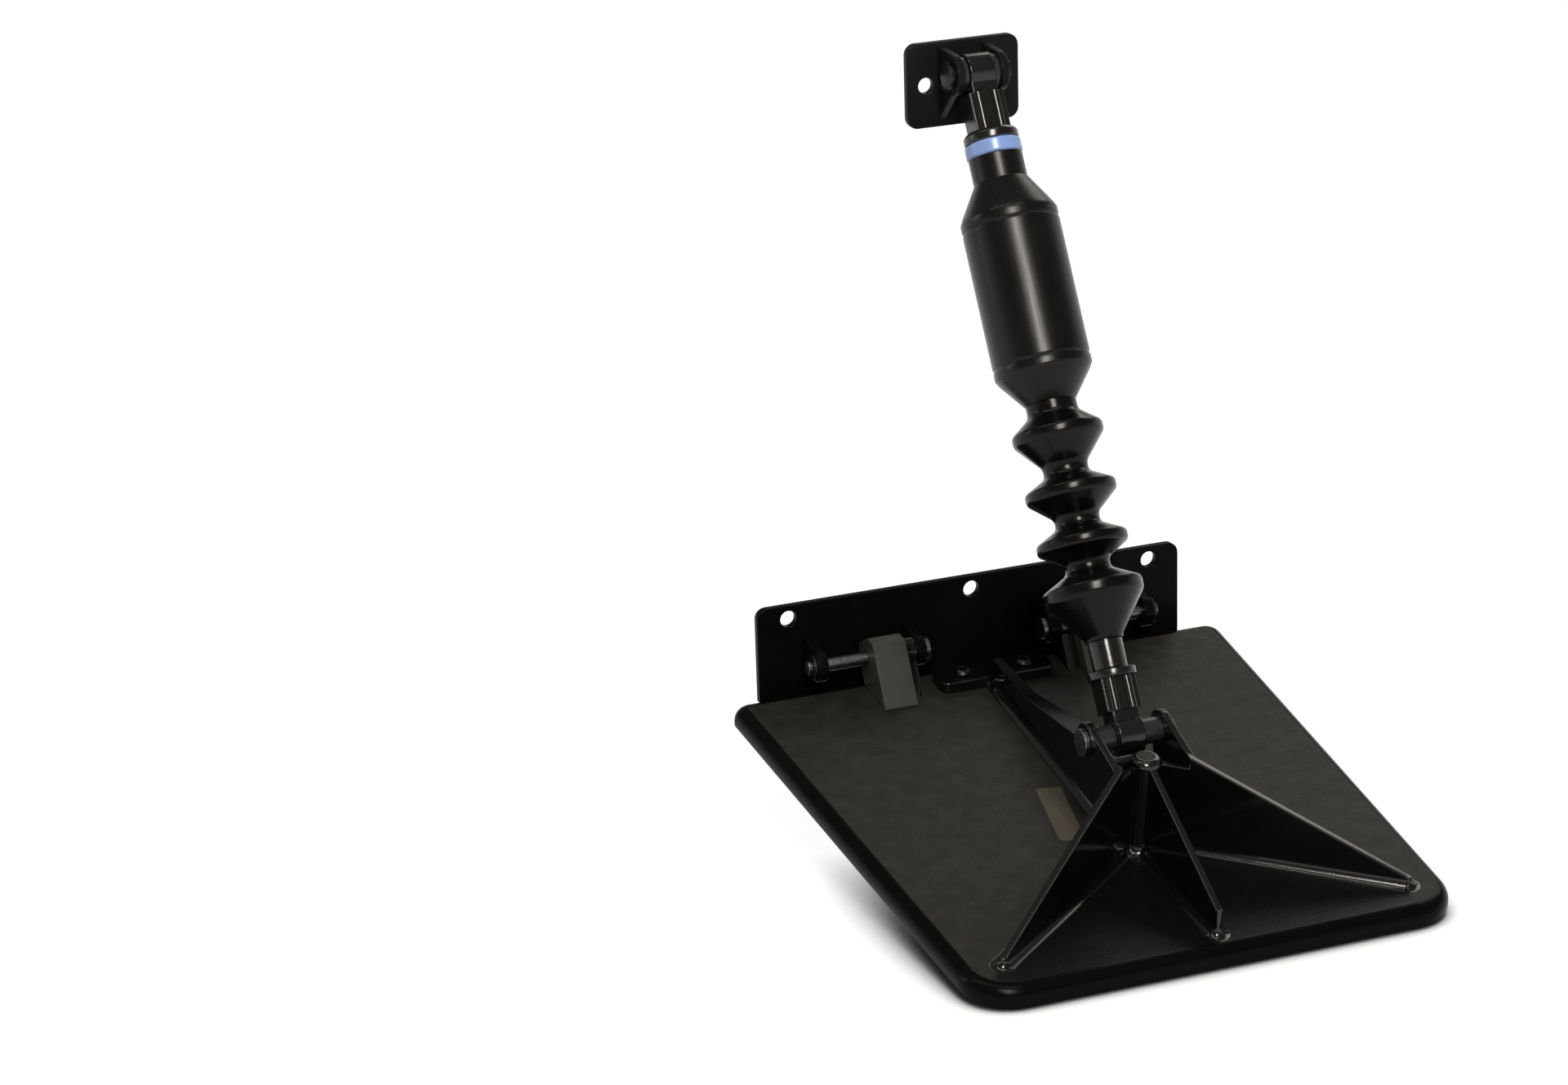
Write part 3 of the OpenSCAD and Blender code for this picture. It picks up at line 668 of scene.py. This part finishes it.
@dataclass
class BellowsBoot:
    """The rubber boot that folds up as the strut shortens.

    Each pitch between its folds is a share of the one above, and each valley lies at its own share of the
    way from one fold to the next. The last and widest fold is the bell.
    """

    strut: Strut
    node: str = "bellows_boot"
    fold_r: float = 19.75 * MM
    valley_r: float = 9.75 * MM
    neck_r: float = 11.0 * MM
    bell_r: float = 21.5 * MM
    end_r: float = 8.3 * MM
    wall: float = 1.8 * MM
    neck: float = 5.0 * MM
    first_fold: float = 13.75 * MM
    pitch: float = 25.5 * MM
    shrink: float = 0.88
    band: float = 4.0 * MM
    valley_band: float = 4.5 * MM
    valley_shares: Triple = (0.62, 0.57, 0.52)
    bell_above: float = 1.0 * MM
    bell_below: float = 4.0 * MM
    end_lip: float = 1.0 * MM
    tip_round: float = 1.2 * MM
    valley_round: float = 1.8 * MM
    sharp_deg: float = 60.0

    def profile(self) -> list[Corner]:
        """Outer and inner wall of the boot as one closed profile.

        Returns:
            The corners, from the top down outside and back up inside.
        """
        top, end = self.strut.reach(self.node)
        folds = [top + self.first_fold]
        for number in range(len(self.valley_shares)):
            folds.append(folds[-1] + self.pitch * self.shrink ** number)
        bell = folds[-1]
        outer = [Corner(self.neck_r, top), Corner(self.neck_r, top + self.neck, self.valley_round)]
        for fold, following, share in zip(folds, folds[1:], self.valley_shares):
            valley = fold + (following - fold) * share
            outer.append(Corner(self.fold_r, fold - self.band / 2, self.tip_round))
            outer.append(Corner(self.fold_r, fold + self.band / 2, self.tip_round))
            outer.append(Corner(self.valley_r, valley - self.valley_band / 2, self.valley_round))
            outer.append(Corner(self.valley_r, valley + self.valley_band / 2, self.valley_round))
        outer.append(Corner(self.bell_r, bell - self.bell_above, self.tip_round))
        outer.append(Corner(self.bell_r, bell + self.bell_below, self.tip_round))
        outer.append(Corner(self.end_r, end - self.end_lip, self.end_lip))
        outer.append(Corner(self.end_r, end))
        inner = [Corner(c.radius - self.wall, c.station, c.round) for c in reversed(outer[1:-1])]
        return outer + [Corner(self.end_r - self.wall, end)] + inner + [Corner(self.neck_r - self.wall, top)]

    def build(self) -> bpy.types.Object:
        """Turns the boot and lets it ride on the cylinder.

        Returns:
            The piece.
        """
        piece = new_piece("bellows_boot_rubber", self.strut.turned(self.profile()), self.sharp_deg)
        dress(piece, Body.CYLINDER, RUBBER)
        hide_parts(self.node)
        top, end = self.strut.reach(self.node)
        self.strut.at(top)
        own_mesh(piece)
        return piece


@dataclass(frozen=True)
class CadDressing:
    """How one CAD node is shown: its finish, the rounding of its edges and whether it is turned."""

    node: str
    body: Body
    finish: Finish
    edge: float = 0.3 * MM
    turned: bool = False

    def build(self, strut: Strut) -> bpy.types.Object:
        """Shows the node as a copy with rounded edges.

        Args:
            strut: The line that the strut's pieces are turned about and their grain runs along.

        Returns:
            The piece that stands for the node.
        """
        piece = new_piece(f"{self.node}_dressed", softened_copy(self.node, self.edge))
        on_strut = self.body in (Body.CYLINDER, Body.ROD)
        dress(piece, self.body, self.finish, strut.lean if on_strut else 0.0)
        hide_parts(self.node)
        if self.turned:
            strut.round_normals(piece)
        else:
            weigh_normals(piece)
        return piece


DRESSINGS = (
    CadDressing("hinge_plate", Body.TRANSOM, PLATE_BLACK, 0.6 * MM),
    CadDressing("hinge_pins", Body.TRANSOM, STAINLESS),
    CadDressing("hinge_pin_clips", Body.TRANSOM, SPRING_STEEL, 0.15 * MM),
    CadDressing("upper_bracket", Body.TRANSOM, BRACKET_BLACK, 0.6 * MM),
    CadDressing("upper_pin", Body.TRANSOM, PIN_DARK),
    CadDressing("upper_pin_clip", Body.TRANSOM, SPRING_STEEL, 0.15 * MM),
    CadDressing("upper_pin_washers", Body.TRANSOM, NYLON, 0.2 * MM),
    CadDressing("pin_keepers", Body.TAB, KEEPER_GREY, 0.5 * MM),
    CadDressing("knuckle_bushes", Body.TAB, NYLON, 0.2 * MM),
    CadDressing("pad_screws", Body.TAB, PIN_DARK, 0.15 * MM),
    CadDressing("lower_pin", Body.TAB, STAINLESS),
    CadDressing("lower_pin_clip", Body.TAB, SPRING_STEEL, 0.15 * MM),
    CadDressing("lower_pin_spacers", Body.TAB, NYLON, 0.2 * MM),
    CadDressing("top_fitting", Body.CYLINDER, GLOSS_BLACK, 0.6 * MM),
    CadDressing("top_eye_bush", Body.CYLINDER, BRONZE, 0.2 * MM),
    CadDressing("end_plug", Body.CYLINDER, SPRING_STEEL),
    CadDressing("colour_ring", Body.CYLINDER, RING_BLUE),
    CadDressing("gas_tube", Body.CYLINDER, TUBE_PAINT),
    CadDressing("tube_shroud", Body.CYLINDER, SHROUD_BLACK, 0.4 * MM, turned=True),
    CadDressing("rod_gland", Body.CYLINDER, BRONZE),
    CadDressing("rod_seal", Body.CYLINDER, RUBBER),
    CadDressing("piston_rod", Body.ROD, STAINLESS),
    CadDressing("piston", Body.ROD, BRONZE),
    CadDressing("piston_ring", Body.ROD, NYLON),
    CadDressing("boot_cuff", Body.ROD, GLOSS_BLACK),
    CadDressing("rod_end", Body.ROD, GLOSS_BLACK, 0.6 * MM),
    CadDressing("rod_end_bush", Body.ROD, NYLON, 0.2 * MM),
)


@dataclass(frozen=True)
class Deck:
    """The deck's own axes: X across, distance aft of the front edge, and height above the deck."""

    origin: Vector
    aft: Vector
    up: Vector

    @classmethod
    def from_tab(cls, rim: float = 5.0 * MM, upward: float = 0.9) -> "Deck":
        """Reads the deck from the tab's CAD mesh.

        Args:
            rim: Depth below the deck at which the front edge is met.
            upward: Upward share of a face's normal above which it may be the deck.

        Returns:
            The deck.
        """
        mesh = frame["nodes"]["tab_plate"].data
        top = max((face for face in mesh.polygons if face.normal.z > upward), key=lambda face: face.area)
        up = top.normal.copy()
        aft = ACROSS.cross(up)
        height = top.center.dot(up)
        front = min(vertex.co.dot(aft) for vertex in mesh.vertices if vertex.co.dot(up) < height - rim)
        return cls(aft * front + up * height, aft, up)

    def height(self, point: Vector) -> float:
        """Height of a point above the deck."""
        return (point - self.origin).dot(self.up)

    def placing(self, across: float, aft: float, turn: float) -> Matrix:
        """Matrix that lays a flat piece on the deck.

        Args:
            across: Place across the deck.
            aft: Distance of its middle aft of the front edge.
            turn: Turn about the deck's upright in radians.

        Returns:
            The matrix, from X across, Y forward and Z up.
        """
        axes = Matrix((ACROSS, -self.aft, self.up)).transposed().to_4x4()
        place = self.origin + ACROSS * across + self.aft * aft
        return Matrix.Translation(place) @ axes @ Matrix.Rotation(turn, 4, "Z")


@dataclass
class LabelPlate:
    """The thin bare plate on the deck beside the tower."""

    deck: Deck
    size: Triple = (11.5 * MM, 43.0 * MM, 0.5 * MM)
    across: float = -20.9 * MM
    aft: float = 134.8 * MM
    turn: float = math.radians(-10.5)
    corner: float = 1.5 * MM
    corner_steps: int = 4
    edge: float = 0.15 * MM
    edge_steps: int = 2

    def build(self) -> bpy.types.Object:
        """Cuts the plate, rounds it and lays it down.

        Returns:
            The piece.
        """
        shape = bmesh.new()
        bmesh.ops.create_cube(shape, size=1.0)
        bmesh.ops.scale(shape, vec=self.size, verts=shape.verts)
        upright = [edge for edge in shape.edges if edge.verts[0].co.z != edge.verts[1].co.z]
        round_off(shape, upright, self.corner, self.corner_steps, clamp=True)
        rim = [edge for edge in shape.edges if all(vertex.co.z > 0.0 for vertex in edge.verts)]
        round_off(shape, rim, self.edge, self.edge_steps, clamp=True)
        placing = self.deck.placing(self.across, self.aft, self.turn)
        bmesh.ops.transform(shape, matrix=placing, verts=shape.verts)
        piece = new_piece("bare_label_plate", shape)
        dress(piece, Body.TAB, LABEL_BARE)
        return piece


@dataclass
class TabMoulding:
    """The moulded tab: a grained deck, a dark rim with dark level tops, and glossy webs.

    A face is level where the upward share of its normal is above the level share, and it is the deck where
    it also lies within the tolerance of the deck's height.
    """

    deck: Deck
    node: str = "tab_plate"
    edge: float = 0.5 * MM
    deck_tolerance: float = 0.02 * MM
    level_share: float = 0.9995

    def area(self, face: bpy.types.MeshPolygon) -> TabArea:
        """The area of the tab that a face belongs to.

        Args:
            face: A face of the tab.

        Returns:
            The area.
        """
        height = self.deck.height(face.center)
        level = face.normal.dot(self.deck.up) > self.level_share
        if level and abs(height) < self.deck_tolerance:
            return TabArea.DECK
        return TabArea.RIM if level or height < 0.0 else TabArea.WEB

    def build(self) -> bpy.types.Object:
        """Rounds the tab's edges and splits its faces between the three finishes.

        Returns:
            The piece.
        """
        piece = new_piece("tab_moulding", softened_copy(self.node, self.edge))
        dress(piece, Body.TAB, DECK_BLACK)
        for finish in (RIM_BLACK, WEB_BLACK):
            piece.data.materials.append(finish.material())
        for face in piece.data.polygons:
            face.material_index = self.area(face)
        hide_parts(self.node)
        weigh_normals(piece)
        return piece


@dataclass(frozen=True)
class PhotoCamera:
    """The camera, at the viewing angle of the photograph."""

    azimuth: float = math.radians(-21.03)
    elevation: float = math.radians(19.33)
    roll: float = math.radians(-1.81)
    distance: float = 1.79982
    focal_px: float = 5210.08
    image_px: float = 1920.0
    sensor_mm: float = 36.0
    target: Triple = (-0.11949, -0.080, 0.06509)

    def build(self) -> bpy.types.Object:
        """Places the camera and makes it the scene's own.

        Returns:
            The camera object.
        """
        back = Vector((
            math.sin(self.azimuth) * math.cos(self.elevation),
            -math.cos(self.azimuth) * math.cos(self.elevation),
            math.sin(self.elevation),
        ))
        right = Vector((math.cos(self.azimuth), math.sin(self.azimuth), 0.0))
        up = back.cross(right)
        rolled_right = right * math.cos(self.roll) + up * math.sin(self.roll)
        rolled_up = up * math.cos(self.roll) - right * math.sin(self.roll)
        data = bpy.data.cameras.new("photo_camera")
        data.sensor_width = self.sensor_mm
        data.lens = self.focal_px / self.image_px * self.sensor_mm
        camera = bpy.data.objects.new("photo_camera", data)
        axes = Matrix((rolled_right, rolled_up, back)).transposed().to_4x4()
        camera.matrix_world = Matrix.Translation(Vector(self.target) + back * self.distance) @ axes
        bpy.context.scene.collection.objects.link(camera)
        bpy.context.scene.camera = camera
        return camera


@dataclass(frozen=True)
class Lamp:
    """A soft studio lamp that looks at the object from one direction.

    Its radiance is the brightness of its face, so a larger lamp gives more light.
    """

    name: str
    direction: Triple
    size: Span
    radiance: float
    roll: float = 0.0
    distance: float = 1.6
    aim: Triple = (0.0, -0.1, 0.06)
    colour: Colour = (1.0, 0.95, 0.87)

    def build(self) -> bpy.types.Object:
        """Hangs the lamp.

        Returns:
            The lamp object.
        """
        data = bpy.data.lights.new(self.name, "AREA")
        data.shape = "RECTANGLE"
        data.size, data.size_y = self.size
        data.energy = self.radiance * math.pi * self.size[0] * self.size[1]
        data.color = self.colour
        lamp = bpy.data.objects.new(self.name, data)
        towards = Vector(self.direction).normalized()
        lamp.location = Vector(self.aim) + towards * self.distance
        lamp.rotation_mode = "QUATERNION"
        lamp.rotation_quaternion = towards.to_track_quat("Z", "Y") @ Quaternion((0.0, 0.0, 1.0), self.roll)
        bpy.context.scene.collection.objects.link(lamp)
        return lamp


@dataclass
class Studio:
    """The pale floor, the backdrop and the lamps.

    The floor's lift is the white that the eye sees where nothing stands close. The contact range is how
    open the sky over the floor is, from darkest to fully lifted. The backdrop falls from the horizon's
    strength to the ceiling's between the two heights of the ceiling range.
    """

    floor_reach: float = 30.0
    floor_gap: float = 0.5 * MM
    floor_colour: Colour = (0.12, 0.12, 0.12)
    floor_mottle: float = 0.01
    floor_cloud_scale: float = 2.0
    floor_roughness: float = 0.9
    floor_lift: float = 0.95
    contact_reach: float = 0.03
    contact_range: Span = (0.4, 0.85)
    horizon: float = 0.9
    ceiling: float = 0.22
    ceiling_range: Span = (0.12, 0.32)
    lamps: tuple[Lamp, ...] = field(default_factory=lambda: (
        Lamp("front_box", (-0.20, -0.70, 0.69), (0.42, 0.80), 25.0),
        Lamp("top_strip", (-0.2, -0.03, 0.98), (0.10, 1.8), 10.0, roll=math.radians(-37.0)),
        Lamp("far_box", (0.62, 0.53, 0.58), (1.1, 0.7), 2.3),
        Lamp("left_strip", (-0.85, 0.42, 0.32), (0.25, 0.6), 4.0),
    ))

    def build(self) -> None:
        """Sets the floor, the world and the lamps."""
        self.floor()
        self.world()
        for lamp in self.lamps:
            lamp.build()

    def floor(self) -> bpy.types.Object:
        """Lays the floor just under the object.

        Returns:
            The floor.
        """
        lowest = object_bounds()[0].z - self.floor_gap
        shape = bmesh.new()
        bmesh.ops.create_grid(shape, size=self.floor_reach, matrix=Matrix.Translation((0.0, 0.0, lowest)))
        floor = new_piece("floor", shape)
        floor.data.materials.append(self.floor_material())
        floor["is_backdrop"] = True
        return floor

    def floor_material(self) -> bpy.types.Material:
        """A surface that is white to the eye but for the object's shadow, and clear from below.

        Returns:
            The material.
        """
        graph = Graph(bpy.data.materials.new("floor_pale"))
        clouds = graph.noise(graph.place(), self.floor_cloud_scale)
        paler = tuple(channel + self.floor_mottle for channel in self.floor_colour)
        contact = graph.add("ShaderNodeAmbientOcclusion", Distance=self.contact_reach)
        # Near the object the glow is darkened by ambient occlusion: a painted contact shadow, besides the
        # real shadow in the lit floor colour.
        open_sky = graph.ramp(contact.outputs["AO"], self.contact_range, (0.0, self.floor_lift))
        side = graph.add("ShaderNodeNewGeometry")
        return graph.surface(
            Base_Color=graph.shade(clouds, self.floor_colour, paler),
            Roughness=self.floor_roughness,
            Specular_IOR_Level=0.0,
            Emission_Color=WHITE,
            Emission_Strength=graph.math("MULTIPLY", open_sky, graph.seen_rays()),
            Alpha=graph.math("SUBTRACT", 1.0, side.outputs["Backfacing"]),
        )

    def world(self) -> None:
        """Makes a pale backdrop that darkens towards the ceiling."""
        world = bpy.data.worlds.new("studio")
        graph = Graph(world)
        source = graph.add("ShaderNodeTexCoord")
        parts = graph.add("ShaderNodeSeparateXYZ", Vector=source.outputs["Generated"])
        fall = graph.ramp(
            parts.outputs["Z"], self.ceiling_range, (self.horizon, self.ceiling), smooth=True,
        )
        glow = graph.add("ShaderNodeBackground", Color=WHITE, Strength=fall)
        graph.add("ShaderNodeOutputWorld", Surface=glow.outputs["Background"])
        bpy.context.scene.world = world


def main() -> None:
    """Builds the object's looks, the studio and the camera."""
    logging.basicConfig(level=logging.INFO)
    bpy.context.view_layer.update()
    strut = Strut.from_joints()
    deck = Deck.from_tab()
    BellowsBoot(strut).build()
    TabMoulding(deck).build()
    LabelPlate(deck).build()
    for dressing in DRESSINGS:
        dressing.build(strut)
    bpy.context.scene.view_settings.view_transform = "Standard"
    Studio().build()
    PhotoCamera().build()


if __name__ == "__main__":
    main()
